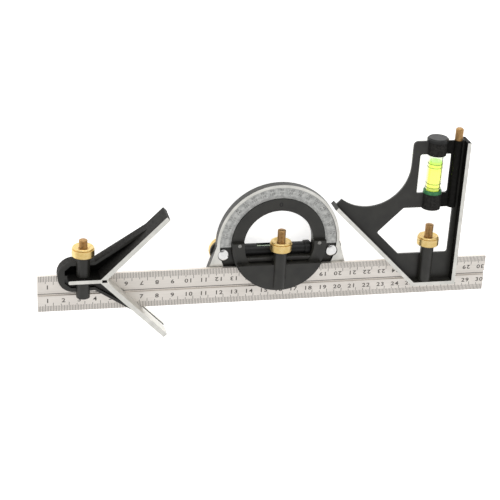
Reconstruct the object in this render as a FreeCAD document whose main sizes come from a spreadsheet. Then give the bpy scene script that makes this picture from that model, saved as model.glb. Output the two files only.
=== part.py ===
"""Combination square set: a 300 mm rule with a centre head, a protractor head and a square head.

The rule lies along X with its zero end at the origin, Y runs across it and Z points out of its
graduated face. Every size is a cell of the sheet, and each place below is worked out from them.
"""
import FreeCAD, Part
import math
import os
import Sketcher
from FreeCAD import Placement, Rotation, Vector

SIZES = [
    ("rule_length", 300, "graduated rule, end to end"),
    ("rule_width", 25, "rule, edge to edge"),
    ("rule_thickness", 2.2, "rule, face to face"),
    ("groove_width", 3.2, "clamping groove along the middle of the front face"),
    ("groove_depth", 1.0, "clamping groove below the front face"),

    ("running_gap", 0.05, "clearance of each sliding or turning fit"),
    ("slot_gap", 0.1, "between the faces of the rule and of a head's slot"),

    ("stud_radius", 2.75, "threaded stud of a clamp bolt"),
    ("stud_standoff", 0.15, "between that stud and the face of the rule"),
    ("stud_chamfer", 0.45, "bevel at the end of each stud"),
    ("lug_height", 1.7, "lug of a clamp bolt, measured across the groove"),
    ("lug_width", 3.0, "lug of a clamp bolt, along the groove"),
    ("lug_reach", 0.75, "how deep the lug enters the groove"),
    ("clamp_travel", 0.8, "how far one turn of a nut lowers its bolt"),
    ("spring_wire", 0.5, "square wire of a clamp spring"),
    ("spring_play", 0.2, "room on each side of that wire"),
    ("spring_length", 3.6, "clamp spring under its nut"),
    ("boss_wall", 0.7, "wall of a clamp boss around its spring"),
    ("boss_end", 0.5, "floor of a clamp boss below its bolt"),
    ("nut_radius", 7.15, "knurled clamp nut"),
    ("nut_height", 6.5, "knurled clamp nut"),
    ("nut_bevel", 0.9, "bevel round the top of a brass nut"),

    ("head_back", 4.3, "middle of the rule to the back of the square and centre heads"),

    ("centre_apex", 42.0, "zero end of the rule to the inner corner of the V"),
    ("centre_reach", 40.0, "length of a V arm along the rule"),
    ("centre_front", 12.4, "middle of the rule to the ground front edges of the V"),
    ("centre_flange", 3.2, "thickness of a V arm"),
    ("centre_plate", 4.0, "middle of the rule to the front of the rim"),
    ("centre_hub_offset", 19.0, "corner of the V to the middle of the round hub"),
    ("centre_hub_radius", 10.5, "round end of the centre head"),
    ("centre_neck_offset", 6.0, "corner of the V to the start of the sloping rim"),
    ("centre_web", 29.0, "corner of the V to the ends of the web, along the rule"),
    ("centre_rim", 2.2, "width of the rim round the pockets"),
    ("centre_stem", 2.4, "width of the ground stem behind the V"),
    ("centre_stem_offset", 23.5, "corner of the V to the far end of the stem"),
    ("centre_relief", 1.9, "width of the relief slot in the corner of the V"),
    ("centre_relief_depth", 2.4, "relief slot behind the corner of the V"),
    ("centre_clamp_offset", 13.5, "corner of the V to the clamp bolt"),
    ("centre_pocket_floor", 1.5, "middle of the rule back to the floor of the upper pocket"),
    ("centre_shallow", 1.6, "depth of the lower pocket"),
    ("centre_nut_seat", 14.7, "upper edge of the rule to the underside of the nut"),
    ("centre_stud_top", 26.1, "upper edge of the rule to the end of the stud"),

    ("pivot_along", 156.0, "zero end of the rule to the axis of the protractor"),
    ("pivot_above", 14.5, "upper edge of the rule to that axis"),
    ("body_back", 7.3, "middle of the rule to the back of the protractor"),
    ("body_front", 1.6, "middle of the rule back to the front of the protractor"),
    ("body_rim", 2.0, "width of the ground rim of the arch"),
    ("body_foot", 9.1, "how far each end of the base reaches past the arch"),
    ("body_base", 38.5, "axis to the base"),
    ("body_heel", 9.5, "height of the upright ends of the base"),
    ("body_chin", 15.0, "axis to the lower end of the scale recess"),
    ("ledge_front", 3.1, "middle of the rule back to the floor of the scale recess"),
    ("ledge_thickness", 2.0, "ledge that the turret runs in"),
    ("turret_radius", 31.3, "outside of the turret where it runs in the body"),
    ("turret_lip", 1.7, "flange of the turret behind the ledge, past its running face"),
    ("turret_ring", 8.2, "width of the ring around the round window"),
    ("turret_ring_front", 1.5, "middle of the rule back to the face of the ring"),
    ("turret_disc_step", 1.0, "turret's running face to the edge of its front disc"),
    ("turret_disc_front", 5.5, "middle of the rule to the face of the front disc"),
    ("turret_block_top", 12.0, "axis down to the flat top of the turret's block"),
    ("turret_ear_top", 2.0, "axis up to the step on each side of the ring"),
    ("turret_ear_front", 1.5, "middle of the rule to the face below that step"),
    ("turret_nut_seat", 12.55, "upper edge of the rule to the underside of the nut"),
    ("turret_stud_top", 27.1, "upper edge of the rule to the end of the stud"),
    ("scale_width", 7.6, "recess of the degree scale, across the arch"),
    ("scale_thickness", 0.8, "plate with the degree scale"),
    ("scale_gap", 0.15, "edge of that plate to the walls of its recess"),
    ("scale_end", 1.5, "axis down to the ends of that plate"),

    ("level_radius", 4.35, "tube that holds the cross level"),
    ("level_drop", 6.6, "axis down to the tube's middle"),
    ("level_back", 7.7, "middle of the rule back to the tube's middle"),
    ("level_socket", 2.3, "how far the tube's end goes into the ring"),
    ("level_clear", 4.6, "window's edge to the capped end of the tube"),
    ("level_cap_radius", 5.2, "cap of the tube"),
    ("level_cap_length", 4.3, "cap of the tube"),
    ("level_cap_spigot", 3.0, "spigot of the cap inside the tube"),
    ("cap_bevel", 0.9, "bevelled edges of the plastic caps and of the scriber's head"),
    ("level_vial_radius", 3.0, "glass vial in the tube"),
    ("level_vial_length", 24.0, "glass vial in the tube"),
    ("level_glass", 0.5, "wall of that vial"),
    ("level_window", 20.0, "length of the opening over the vial"),
    ("level_window_width", 4.6, "width of the opening over the vial"),
    ("saddle_height", 2.2, "saddle below the tube"),
    ("saddle_depth", 4.5, "saddle below the tube, front to back"),

    ("lock_offset", 5.55, "turret's running face to a lock bolt"),
    ("lock_drop", 6.95, "axis down to the lock bolts"),
    ("lock_stud_radius", 1.5, "stud of a lock bolt"),
    ("lock_head_radius", 3.75, "domed head of a lock bolt"),
    ("lock_head_height", 1.7, "domed head of a lock bolt"),
    ("lock_washer_radius", 7.9, "clamp washer over the turret's flange"),
    ("lock_washer_thickness", 1.5, "clamp washer over the turret's flange"),
    ("lock_nut_radius", 8.1, "knurled lock nut"),
    ("lock_nut_height", 5.0, "knurled lock nut"),
    ("lock_travel", 0.5, "how far one turn backs a lock nut off"),
    ("lock_stud_end", 0.4, "stud past its backed-off nut"),

    ("square_face", 276.8, "zero end of the rule to the 90 degree face"),
    ("square_base", 30.0, "short side across the rule"),
    ("square_skirt", 16.6, "upper edge of the rule down to the short side"),
    ("square_height", 100.5, "90 degree face, end to end"),
    ("square_leg", 57.0, "45 degree face, measured along the rule"),
    ("square_front", 8.1, "middle of the rule to the ground front edges"),
    ("square_rim", 2.5, "thickness of the ground flanges"),
    ("square_web_front", 2.4, "middle of the rule to the front of the web"),
    ("square_web", 1.6, "thickness of the web"),
    ("square_saddle", 2.0, "upper edge of the rule to the top of the wall behind it"),
    ("square_saddle_back", 3.3, "middle of the rule to the back of that wall"),
    ("frame_width", 36.7, "90 degree face to the outside of the vial frame"),
    ("frame_corner", 3.0, "rounded corner of the vial frame"),
    ("frame_wall", 5.0, "outer wall of the vial frame"),
    ("frame_top", 8.9, "bar over the vial window"),
    ("bay_radius", 27.8, "round bay between the 45 degree leg and the vial frame"),
    ("bay_drop", 16.4, "top of the head down to the middle of the bay"),
    ("vial_window", 27.0, "height of the vial window"),
    ("window_corner", 1.4, "rounded corners of the windows"),
    ("socket_bar", 10.0, "bar between the two windows"),
    ("post_width", 10.5, "90 degree face to the vial window"),
    ("post_low_width", 5.8, "90 degree face to the lower window"),
    ("sill", 4.8, "upper edge of the rule to the lower window"),
    ("leg_strip", 8.2, "45 degree face to the lower window"),
    ("nose_offset", 56.2, "90 degree face to the nose of the lower window"),
    ("square_clamp_offset", 20.8, "90 degree face to the clamp bolt and the vial"),
    ("square_nut_seat", 12.05, "upper edge of the rule to the underside of the nut"),
    ("square_stud_top", 26.7, "upper edge of the rule to the end of the stud"),

    ("vial_radius", 5.0, "acrylic vial of the square head"),
    ("vial_wall", 0.8, "its wall and its floor"),
    ("vial_forward", 1.9, "middle of the rule to the vial's middle"),
    ("vial_boss", 6.2, "bosses that hold the vial"),
    ("vial_boss_drop", 0.2, "upper boss below its bar"),
    ("socket_drop", 0.4, "lower boss below its bar"),
    ("socket_floor", 1.2, "floor of the lower boss"),
    ("vial_head_space", 2.4, "vial's upper end below the top of the head"),
    ("vial_air", 10.8, "vial's upper end down to the liquid"),
    ("plug_height", 2.5, "cap over the vial"),
    ("plug_overlap", 0.8, "cap beyond the boss"),
    ("plug_spigot", 2.0, "spigot of the cap in the boss"),

    ("scriber_offset", 6.8, "90 degree face to the scriber"),
    ("scriber_forward", 2.0, "middle of the rule to the scriber"),
    ("scriber_radius", 1.25, "hardened scriber pin"),
    ("scriber_length", 44.0, "scriber pin below the top of the head"),
    ("scriber_point", 4.5, "ground point of the pin"),
    ("scriber_boss", 2.9, "round rib that holds the pin"),
    ("scriber_head_radius", 2.6, "brass head of the scriber"),
    ("scriber_head_height", 8.6, "brass head of the scriber"),
    ("scriber_grip", 5.0, "pin inside its brass head"),
]

doc = FreeCAD.newDocument("CombinationSquareSet")
sheet = doc.addObject("Spreadsheet::Sheet", "Sizes")


class Size:
    """A length with its value now and the sheet formula that gives it."""

    def __init__(self, value, formula):
        self.value = float(value)
        self.formula = formula

    def __add__(self, other):
        other = as_size(other)
        return Size(self.value + other.value, "(%s + %s)" % (self.formula, other.formula))

    def __sub__(self, other):
        other = as_size(other)
        return Size(self.value - other.value, "(%s - %s)" % (self.formula, other.formula))

    def __mul__(self, other):
        other = as_size(other)
        return Size(self.value * other.value, "(%s * %s)" % (self.formula, other.formula))

    def __truediv__(self, other):
        other = as_size(other)
        return Size(self.value / other.value, "(%s / %s)" % (self.formula, other.formula))

    def __neg__(self):
        return Size(-self.value, "(0 - %s)" % self.formula)

    def __radd__(self, other):
        return as_size(other) + self

    def __rsub__(self, other):
        return as_size(other) - self

    def __rmul__(self, other):
        return as_size(other) * self


def as_size(number):
    return number if isinstance(number, Size) else Size(number, "(%r)" % float(number))


def root(size):
    return Size(math.sqrt(size.value), "sqrt(%s)" % size.formula)


class Sizes:
    """The cells of the sheet by name."""


s = Sizes()
for row, (alias, value, note) in enumerate(SIZES, start=1):
    sheet.set("A%d" % row, alias)
    sheet.set("B%d" % row, str(value))
    sheet.set("C%d" % row, note)
    sheet.setAlias("B%d" % row, alias)
    setattr(s, alias, Size(value, "Sizes." + alias))
doc.recompute()

# Places that more than one piece shares
DIAGONAL = math.sqrt(0.5)
rule_top = s.rule_width / 2
rule_face = s.rule_thickness / 2
slot_half = rule_face + s.slot_gap
slot_top = rule_top + s.running_gap
clamp_forward = rule_face + s.stud_standoff + s.stud_radius
stud_bore = s.stud_radius + s.running_gap
spring_inner = s.stud_radius + s.spring_play
spring_bore = spring_inner + s.spring_wire + s.spring_play
boss_radius = spring_bore + s.boss_wall
lug_top = s.groove_width / 2 - s.running_gap
lug_bottom = lug_top - s.lug_height
lug_tip = rule_face - s.lug_reach
bore_bottom = lug_bottom - s.clamp_travel - s.running_gap
boss_bottom = bore_bottom - s.boss_end
pivot_y = rule_top + s.pivot_above
level_y = pivot_y - s.level_drop
turret_bore = s.turret_radius + s.running_gap
turret_flange = s.turret_radius + s.turret_lip
turret_window = s.turret_radius - s.turret_ring
recess_radius = s.turret_radius + s.scale_width
body_radius = recess_radius + s.body_rim
body_foot = body_radius + s.body_foot
lock_radius = s.turret_radius + s.lock_offset
level_start = turret_window + s.level_socket
level_end = turret_window - s.level_clear


# Building blocks: bodies, sketches and features

def bind(thing, prop, size):
    thing.setExpression(prop, as_size(size).formula)


def new_body(label):
    body = doc.addObject("PartDesign::Body", label)
    body.Label = label
    return body


def new_sketch(body, plane, lift, shapes):
    """A sketch on one of the body's own planes, lifted along that plane's normal."""
    sketch = body.newObject("Sketcher::SketchObject", body.Name + "_sketch")
    support = [item for item in body.Origin.OriginFeatures if item.Role == plane + "_Plane"]
    sketch.AttachmentSupport = [(support[0], "")]
    sketch.MapMode = "FlatFace"
    bind(sketch, "AttachmentOffset.Base.z", lift)
    for draw in shapes:
        draw(sketch)
    return sketch


def pin_point(sketch, item, point, x, y):
    """Hold one point of the sketch at a place that comes from the sheet."""
    for kind, size in (("DistanceX", as_size(x)), ("DistanceY", as_size(y))):
        index = sketch.addConstraint(Sketcher.Constraint(kind, -1, 1, item, point, size.value))
        sketch.setExpression("Constraints[%d]" % index, size.formula)


def pin_radius(sketch, item, radius):
    index = sketch.addConstraint(Sketcher.Constraint("Radius", item, as_size(radius).value))
    sketch.setExpression("Constraints[%d]" % index, as_size(radius).formula)


def circle(x, y, radius):
    def draw(sketch):
        middle = Vector(as_size(x).value, as_size(y).value, 0)
        shape = Part.Circle(middle, Vector(0, 0, 1), as_size(radius).value)
        item = sketch.addGeometry(shape, False)
        pin_point(sketch, item, 3, x, y)
        pin_radius(sketch, item, radius)
    return draw


def segment(x, y, radius, chord_y):
    """The part of a round disc below a straight chord."""
    def draw(sketch):
        middle = Vector(as_size(x).value, as_size(y).value, 0)
        size = as_size(radius).value
        drop = math.asin((as_size(y).value - as_size(chord_y).value) / size)
        round_part = Part.Circle(middle, Vector(0, 0, 1), size)
        arc = sketch.addGeometry(Part.ArcOfCircle(round_part, math.pi + drop, 2 * math.pi - drop), False)
        ends = [sketch.getPoint(arc, 1), sketch.getPoint(arc, 2)]
        line = sketch.addGeometry(Part.LineSegment(ends[1], ends[0]), False)
        sketch.addConstraint(Sketcher.Constraint("Coincident", arc, 2, line, 1))
        sketch.addConstraint(Sketcher.Constraint("Coincident", line, 2, arc, 1))
        sketch.addConstraint(Sketcher.Constraint("Horizontal", line))
        pin_point(sketch, arc, 3, x, y)
        pin_radius(sketch, arc, radius)
        index = sketch.addConstraint(
            Sketcher.Constraint("DistanceY", -1, 1, line, 1, as_size(chord_y).value))
        sketch.setExpression("Constraints[%d]" % index, as_size(chord_y).formula)
    return draw


def polygon(*corners):
    """Straight sides through the corners, each (x, y) or (x, y, radius) where it is rounded."""
    def draw(sketch):
        count = len(corners)
        places = [Vector(as_size(c[0]).value, as_size(c[1]).value, 0) for c in corners]
        starts = list(places)
        ends = list(places)
        for index, corner in enumerate(corners):
            if len(corner) == 3:
                before = (places[index - 1] - places[index]).normalize()
                after = (places[(index + 1) % count] - places[index]).normalize()
                half_angle = before.getAngle(after) / 2
                reach = as_size(corner[2]).value / math.tan(half_angle)
                ends[index] = places[index] + before * reach
                starts[index] = places[index] + after * reach
        lines = []
        for index in range(count):
            side = Part.LineSegment(starts[index], ends[(index + 1) % count])
            lines.append(sketch.addGeometry(side, False))
        for index, corner in enumerate(corners):
            into, out_of = lines[index - 1], lines[index]
            if len(corner) == 2:
                sketch.addConstraint(Sketcher.Constraint("Coincident", into, 2, out_of, 1))
                pin_point(sketch, out_of, 1, corner[0], corner[1])
            else:
                round_corner(sketch, into, out_of, ends[index], starts[index], places[index], corner)
    return draw


def round_corner(sketch, into, out_of, first, second, place, corner):
    """A tangent arc between two sides, whose sharp corner stays pinned as a point."""
    radius = as_size(corner[2]).value
    toward = ((first + second) * 0.5 - place).normalize()
    half_angle = (first - place).getAngle(toward)
    middle = place + toward * (radius / math.sin(half_angle))
    left_turn = (place - first).cross(second - place).z > 0
    begin, finish = (first, second) if left_turn else (second, first)
    angles = [math.atan2(p.y - middle.y, p.x - middle.x) for p in (begin, finish)]
    if angles[1] < angles[0]:
        angles[1] += 2 * math.pi
    shape = Part.ArcOfCircle(Part.Circle(middle, Vector(0, 0, 1), radius), angles[0], angles[1])
    arc = sketch.addGeometry(shape, False)
    first_point, second_point = (1, 2) if left_turn else (2, 1)
    sketch.addConstraint(Sketcher.Constraint("Tangent", into, 2, arc, first_point))
    sketch.addConstraint(Sketcher.Constraint("Tangent", arc, second_point, out_of, 1))
    pin_radius(sketch, arc, corner[2])
    sharp = sketch.addGeometry(Part.Point(place), True)
    sketch.addConstraint(Sketcher.Constraint("PointOnObject", sharp, 1, into))
    sketch.addConstraint(Sketcher.Constraint("PointOnObject", sharp, 1, out_of))
    pin_point(sketch, sharp, 1, corner[0], corner[1])


def block(x_low, y_low, x_high, y_high):
    return polygon((x_low, y_low), (x_high, y_low), (x_high, y_high), (x_low, y_high))


def add(body, plane, low, high, *shapes):
    """Pad shapes from low to high along X, Y or Z: the axis that the plane leaves out."""
    lift = -as_size(high) if plane == "XZ" else low
    feature = body.newObject("PartDesign::Pad", body.Name + "_pad")
    sketch = new_sketch(body, plane, lift, shapes)
    return finish_feature(body, feature, sketch, low, high)


def cut(body, plane, low, high, *shapes):
    """Pocket shapes from low to high along the axis that the plane leaves out."""
    lift = -as_size(low) if plane == "XZ" else high
    feature = body.newObject("PartDesign::Pocket", body.Name + "_pocket")
    sketch = new_sketch(body, plane, lift, shapes)
    return finish_feature(body, feature, sketch, low, high)


def finish_feature(body, feature, sketch, low, high):
    feature.Profile = sketch
    bind(feature, "Length", as_size(high) - low)
    body.Tip = feature
    sketch.Visibility = False
    return feature


def turn(body, *profile):
    """Revolve a profile of (radius, height) corners about the body's own Z axis."""
    sketch = new_sketch(body, "XZ", 0, [polygon(*profile)])
    feature = body.newObject("PartDesign::Revolution", body.Name + "_turned")
    feature.Profile = sketch
    feature.ReferenceAxis = (sketch, ["V_Axis"])
    feature.Angle = 360
    body.Tip = feature
    return feature


def bevel(body, size, choose):
    """Chamfer the edges of the body that the chooser picks."""
    doc.recompute()
    base = body.Tip
    names = ["Edge%d" % (i + 1) for i, edge in enumerate(base.Shape.Edges) if choose(edge)]
    feature = body.newObject("PartDesign::Chamfer", body.Name + "_bevel")
    feature.Base = (base, names)
    bind(feature, "Size", size)
    body.Tip = feature
    return feature


def place(body, x, y, z, axis="Z"):
    """Put a turned body where it belongs, with its own Z axis along the named one."""
    turns = {
        "Z": Rotation(),
        "-Z": Rotation(Vector(1, 0, 0), 180),
        "Y": Rotation(Vector(1, 0, 0), -90),
        "X": Rotation(Vector(0, 1, 0), 90),
    }
    body.Placement = Placement(Vector(0, 0, 0), turns[axis])
    for prop, size in (("x", x), ("y", y), ("z", z)):
        bind(body, "Placement.Base." + prop, size)
    return body


# The rule

def make_rule():
    rule = new_body("rule")
    half_groove = s.groove_width / 2
    add(rule, "YZ", 0, s.rule_length, polygon(
        (-rule_top, -rule_face), (rule_top, -rule_face), (rule_top, rule_face),
        (half_groove, rule_face), (half_groove, rule_face - s.groove_depth),
        (-half_groove, rule_face - s.groove_depth), (-half_groove, rule_face),
        (-rule_top, rule_face)))


# The clamp that each head has: a bolt hooked into the groove, a spring and a knurled nut

def clamp_boss(head, along, seat):
    add(head, "XZ", boss_bottom, seat, circle(along, clamp_forward, boss_radius))


def clamp_bore(head, along, seat):
    """The stud's bore, a keyway that lets its lug pass, and the counterbore of the spring."""
    half_key = s.lug_width / 2 + s.running_gap
    above = seat + 1
    cut(head, "XZ", bore_bottom, above, circle(along, clamp_forward, stud_bore))
    cut(head, "XZ", bore_bottom, above, block(
        along - half_key, lug_tip - s.running_gap, along + half_key, clamp_forward))
    cut(head, "XZ", seat - s.spring_length, above, circle(along, clamp_forward, spring_bore))


def rule_slot(head, low, high, bottom):
    cut(head, "YZ", low, high, block(bottom, -slot_half, slot_top, slot_half))


def make_clamp(name, along, seat, stud_top):
    bolt = new_body(name + "_clamp_bolt")
    add(bolt, "XZ", lug_bottom, stud_top, circle(along, clamp_forward, s.stud_radius))
    add(bolt, "XZ", lug_bottom, lug_top, block(
        along - s.lug_width / 2, lug_tip, along + s.lug_width / 2, clamp_forward))
    bevel(bolt, s.stud_chamfer, lambda edge: is_ring_at(edge, stud_top))

    nut = new_body(name + "_clamp_nut")
    knurled_nut(nut, stud_bore, s.nut_radius, s.nut_height)
    place(nut, along, seat, clamp_forward, "Y")

    spring = doc.addObject("Part::Feature", name + "_clamp_spring")
    spring.Label = name + "_clamp_spring"
    spring.Shape = coil(spring_inner.value, s.spring_wire.value, s.spring_length.value)
    place(spring, along, seat - s.spring_length, clamp_forward, "Y")


def is_ring_at(edge, height):
    """Whether an edge is a full circle whose middle lies at this height along Y."""
    full = isinstance(edge.Curve, Part.Circle) and len(edge.Vertexes) == 1
    return full and abs(edge.Curve.Center.y - height.value) < 1e-6


def knurled_nut(nut, bore, radius, height):
    """A round nut with a bevelled top."""
    turn(nut,
         (bore, 0), (radius, 0), (radius, height - s.nut_bevel), (radius - s.nut_bevel, height),
         (bore, height))


def coil(inner, wire, length):
    """A compression spring of square wire, standing on z = 0."""
    turns = 2
    middle = inner + wire / 2
    rise = length - wire
    helix = Part.makeHelix(rise / turns, rise, middle)
    corners = [
        Vector(inner, 0, 0), Vector(inner + wire, 0, 0),
        Vector(inner + wire, 0, wire), Vector(inner, 0, wire)]
    section = Part.makePolygon(corners + corners[:1])
    return Part.Wire(helix).makePipeShell([section], True, True)


# The centre head

def make_centre_head():
    apex = s.centre_apex
    hub = apex - s.centre_hub_offset
    clamp = apex - s.centre_clamp_offset
    neck = apex - s.centre_neck_offset
    end = apex + s.centre_reach
    seat = rule_top + s.centre_nut_seat
    across = s.centre_flange * DIAGONAL
    inner = s.centre_flange / DIAGONAL
    neck_up = s.centre_hub_radius - s.centre_rim / 4
    join = s.centre_web
    low = apex - s.centre_hub_offset - s.centre_hub_radius
    frame = new_body("centre_frame")

    # the plate: a round hub and a web that fans out to the two arms
    add(frame, "XY", -s.head_back, s.centre_plate,
        circle(hub, rule_top, s.centre_hub_radius))
    for up in (1, -1):
        add(frame, "XY", -s.head_back, s.centre_plate, polygon(
            (hub, rule_top), (hub, rule_top + up * s.centre_hub_radius),
            (neck, rule_top + up * neck_up),
            (apex + join - across, rule_top + up * (join + across)),
            (apex + join, rule_top + up * join), (apex, rule_top)))

    # pockets: deep above the stem, shallow below it, where the rule passes behind
    rim_low = neck_up - s.centre_rim
    slope = (join + across - neck_up) / (join - across + s.centre_neck_offset)
    start = s.centre_stem / 2
    meet = (rim_low + slope * (s.centre_neck_offset - inner)) / (1 - slope)
    for up, floor in ((1, -s.centre_pocket_floor), (-1, s.centre_plate - s.centre_shallow)):
        cut(frame, "XY", floor, s.centre_front, polygon(
            (low + 2 * s.centre_rim, rule_top + up * start),
            (low + 2 * s.centre_rim, rule_top + up * (rim_low * 0.55)),
            (hub - s.centre_rim, rule_top + up * rim_low),
            (neck, rule_top + up * rim_low),
            (apex - inner + meet, rule_top + up * meet),
            (apex - inner + start, rule_top + up * start)))

    # the V arms, cut square at their ends, and the stem behind their corner
    chevron = [(apex, rule_top)]
    chevron += [(end, rule_top + s.centre_reach)]
    chevron += [(end - across, rule_top + s.centre_reach + across)]
    chevron += [(apex - inner, rule_top)]
    chevron += [(end - across, rule_top - s.centre_reach - across)]
    chevron += [(end, rule_top - s.centre_reach)]
    add(frame, "XY", -s.head_back, s.centre_front, polygon(*chevron))
    half_stem = s.centre_stem / 2
    add(frame, "XY", -s.centre_pocket_floor, s.centre_front, polygon(
        (apex - s.centre_stem_offset, rule_top - half_stem, half_stem * 0.9),
        (apex - s.centre_flange, rule_top - half_stem),
        (apex - s.centre_flange, rule_top + half_stem),
        (apex - s.centre_stem_offset, rule_top + half_stem, half_stem * 0.9)))

    clamp_boss(frame, clamp, seat)
    rule_slot(frame, low - 1, end + 1, rule_top - s.centre_reach - s.rule_width)
    clamp_bore(frame, clamp, seat)
    cut(frame, "XY", -s.head_back - 1, s.centre_front + 1, block(
        apex - s.centre_relief_depth, rule_top - s.centre_relief / 2,
        apex + s.centre_relief, rule_top + s.centre_relief / 2))
    make_clamp("centre", clamp, seat, rule_top + s.centre_stud_top)


# The protractor head

def make_protractor_body():
    x, y = s.pivot_along, pivot_y
    body = new_body("protractor_body")
    base = y - s.body_base
    heel = base + s.body_heel
    chin = y - s.body_chin
    flare = s.body_foot * (s.body_chin / (s.body_base - s.body_heel))
    chin_half = body_radius + flare
    ledge_back = s.ledge_front + s.ledge_thickness
    add(body, "XY", -s.body_back, -s.body_front, circle(x, y, body_radius))
    add(body, "XY", -s.body_back, -s.body_front, polygon(
        (x - body_radius, y), (x - body_foot, heel), (x - body_foot, base),
        (x + body_foot, base), (x + body_foot, heel), (x + body_radius, y)))
    cut(body, "XY", -s.ledge_front, 0, circle(x, y, recess_radius))
    add(body, "XY", -s.body_back, -s.body_front, polygon(
        (x - chin_half, chin), (x - body_foot, heel), (x - body_foot, base),
        (x + body_foot, base), (x + body_foot, heel), (x + chin_half, chin)))
    cut(body, "XY", -s.body_back - 1, 0, block(
        x - body_foot, base - body_radius, x + body_foot, base))
    cut(body, "XY", -s.body_back - 1, 0, circle(x, y, turret_bore))
    cut(body, "XY", -s.body_back - 1, -ledge_back, circle(x, y, turret_flange + s.running_gap))
    for side in (-1, 1):
        cut(body, "XY", -s.body_back - 1, 0, circle(
            x + side * lock_across(), y - s.lock_drop, s.lock_stud_radius + s.running_gap))
        cut(body, "XY", -s.ledge_front, 0, circle(
            x + side * lock_across(), y - s.lock_drop, s.lock_head_radius + s.running_gap))


def lock_across():
    """How far each lock bolt stands from the axis, along the rule."""
    return root(lock_radius * lock_radius - s.lock_drop * s.lock_drop)


def make_degree_scale():
    x, y = s.pivot_along, pivot_y
    scale = new_body("degree_scale")
    top = s.scale_thickness - s.ledge_front
    outer = recess_radius - s.scale_gap
    add(scale, "XY", -s.ledge_front, top, circle(x, y, outer))
    cut(scale, "XY", -s.ledge_front, top, circle(x, y, turret_bore + s.scale_gap))
    cut(scale, "XY", -s.ledge_front, top, block(
        x - outer - 1, y - outer - 1, x + outer + 1, y - s.scale_end))


def make_turret():
    x, y = s.pivot_along, pivot_y
    turret = new_body("turret")
    seat = rule_top + s.turret_nut_seat
    ledge_back = s.ledge_front + s.ledge_thickness
    block_top = y - s.turret_block_top

    # the ring that turns in the body, its rear flange and the thicker ring below the steps
    add(turret, "XY", -s.body_back, -ledge_back - s.running_gap, circle(x, y, turret_flange))
    add(turret, "XY", -s.body_back, -s.turret_ring_front, circle(x, y, s.turret_radius))
    add(turret, "XY", -s.body_back, s.turret_ear_front,
        segment(x, y, s.turret_radius, y + s.turret_ear_top))
    cut(turret, "XY", -s.body_back - 1, s.turret_ear_front + 1, circle(x, y, turret_window))

    # the block below the window, behind and before the rule
    add(turret, "XY", -s.body_back, 0, segment(x, y, s.turret_radius, block_top))
    add(turret, "XY", -s.body_back, s.turret_disc_front,
        segment(x, y, s.turret_radius - s.turret_disc_step, block_top))

    # the saddle of the level tube, with its trough, which also sockets the tube's end
    saddle_back = s.level_back + s.level_radius / 5
    add(turret, "XY", -saddle_back, s.saddle_depth - saddle_back, block(
        x - level_start + s.level_radius, block_top - 1,
        x + level_end, block_top + s.saddle_height))
    cut(turret, "YZ", x - level_start - s.running_gap, x + level_end + 1,
        circle(level_y, -s.level_back, s.level_radius + s.running_gap))
    cut(turret, "YZ", x + level_end, x + level_end + s.level_cap_length + s.running_gap,
        circle(level_y, -s.level_back, s.level_cap_radius + s.running_gap))

    clamp_boss(turret, x, seat)
    rule_slot(turret, x - s.turret_radius - 1, x + s.turret_radius + 1, y - turret_flange - 1)
    clamp_bore(turret, x, seat)
    make_clamp("turret", x, seat, rule_top + s.turret_stud_top)


def make_level():
    x = s.pivot_along
    length = level_start + level_end
    bore = s.level_vial_radius + s.running_gap
    tube = new_body("level_tube")
    turn(tube, (bore, 0), (s.level_radius, 0), (s.level_radius, length), (bore, length))
    half_window = s.level_window / 2
    cut(tube, "XZ", -s.level_radius - 1, -s.level_vial_radius / 2, block(
        -s.level_window_width / 2, length / 2 - half_window,
        s.level_window_width / 2, length / 2 + half_window))
    lay_in_tube(tube, x - level_start)

    vial_start = x - level_start + (length - s.level_vial_length) / 2
    vial = new_body("level_vial")
    inside = s.level_vial_radius - s.level_glass
    turn(vial, (0, 0), (s.level_vial_radius, 0), (s.level_vial_radius, s.level_vial_length),
         (0, s.level_vial_length), (0, s.level_vial_length - s.level_glass),
         (inside, s.level_vial_length - s.level_glass), (inside, s.level_glass),
         (0, s.level_glass))
    lay_in_tube(vial, vial_start)
    fluid = new_body("level_fluid")
    turn(fluid, (0, s.level_glass), (inside, s.level_glass),
         (inside, s.level_vial_length - s.level_glass),
         (0, s.level_vial_length - s.level_glass))
    lay_in_tube(fluid, vial_start)

    cap = new_body("level_cap")
    turn(cap, (0, -s.level_cap_spigot), (s.level_vial_radius, -s.level_cap_spigot),
         (s.level_vial_radius, 0), (s.level_cap_radius, 0),
         (s.level_cap_radius, s.level_cap_length - s.cap_bevel),
         (s.level_cap_radius - s.cap_bevel, s.level_cap_length), (0, s.level_cap_length))
    lay_in_tube(cap, x + level_end)


def lay_in_tube(body, start):
    place(body, start, level_y, -s.level_back, "X")
    body.Placement.Rotation = Rotation(Vector(0, 1, 0), 90) * Rotation(Vector(0, 0, 1), 180)


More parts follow.
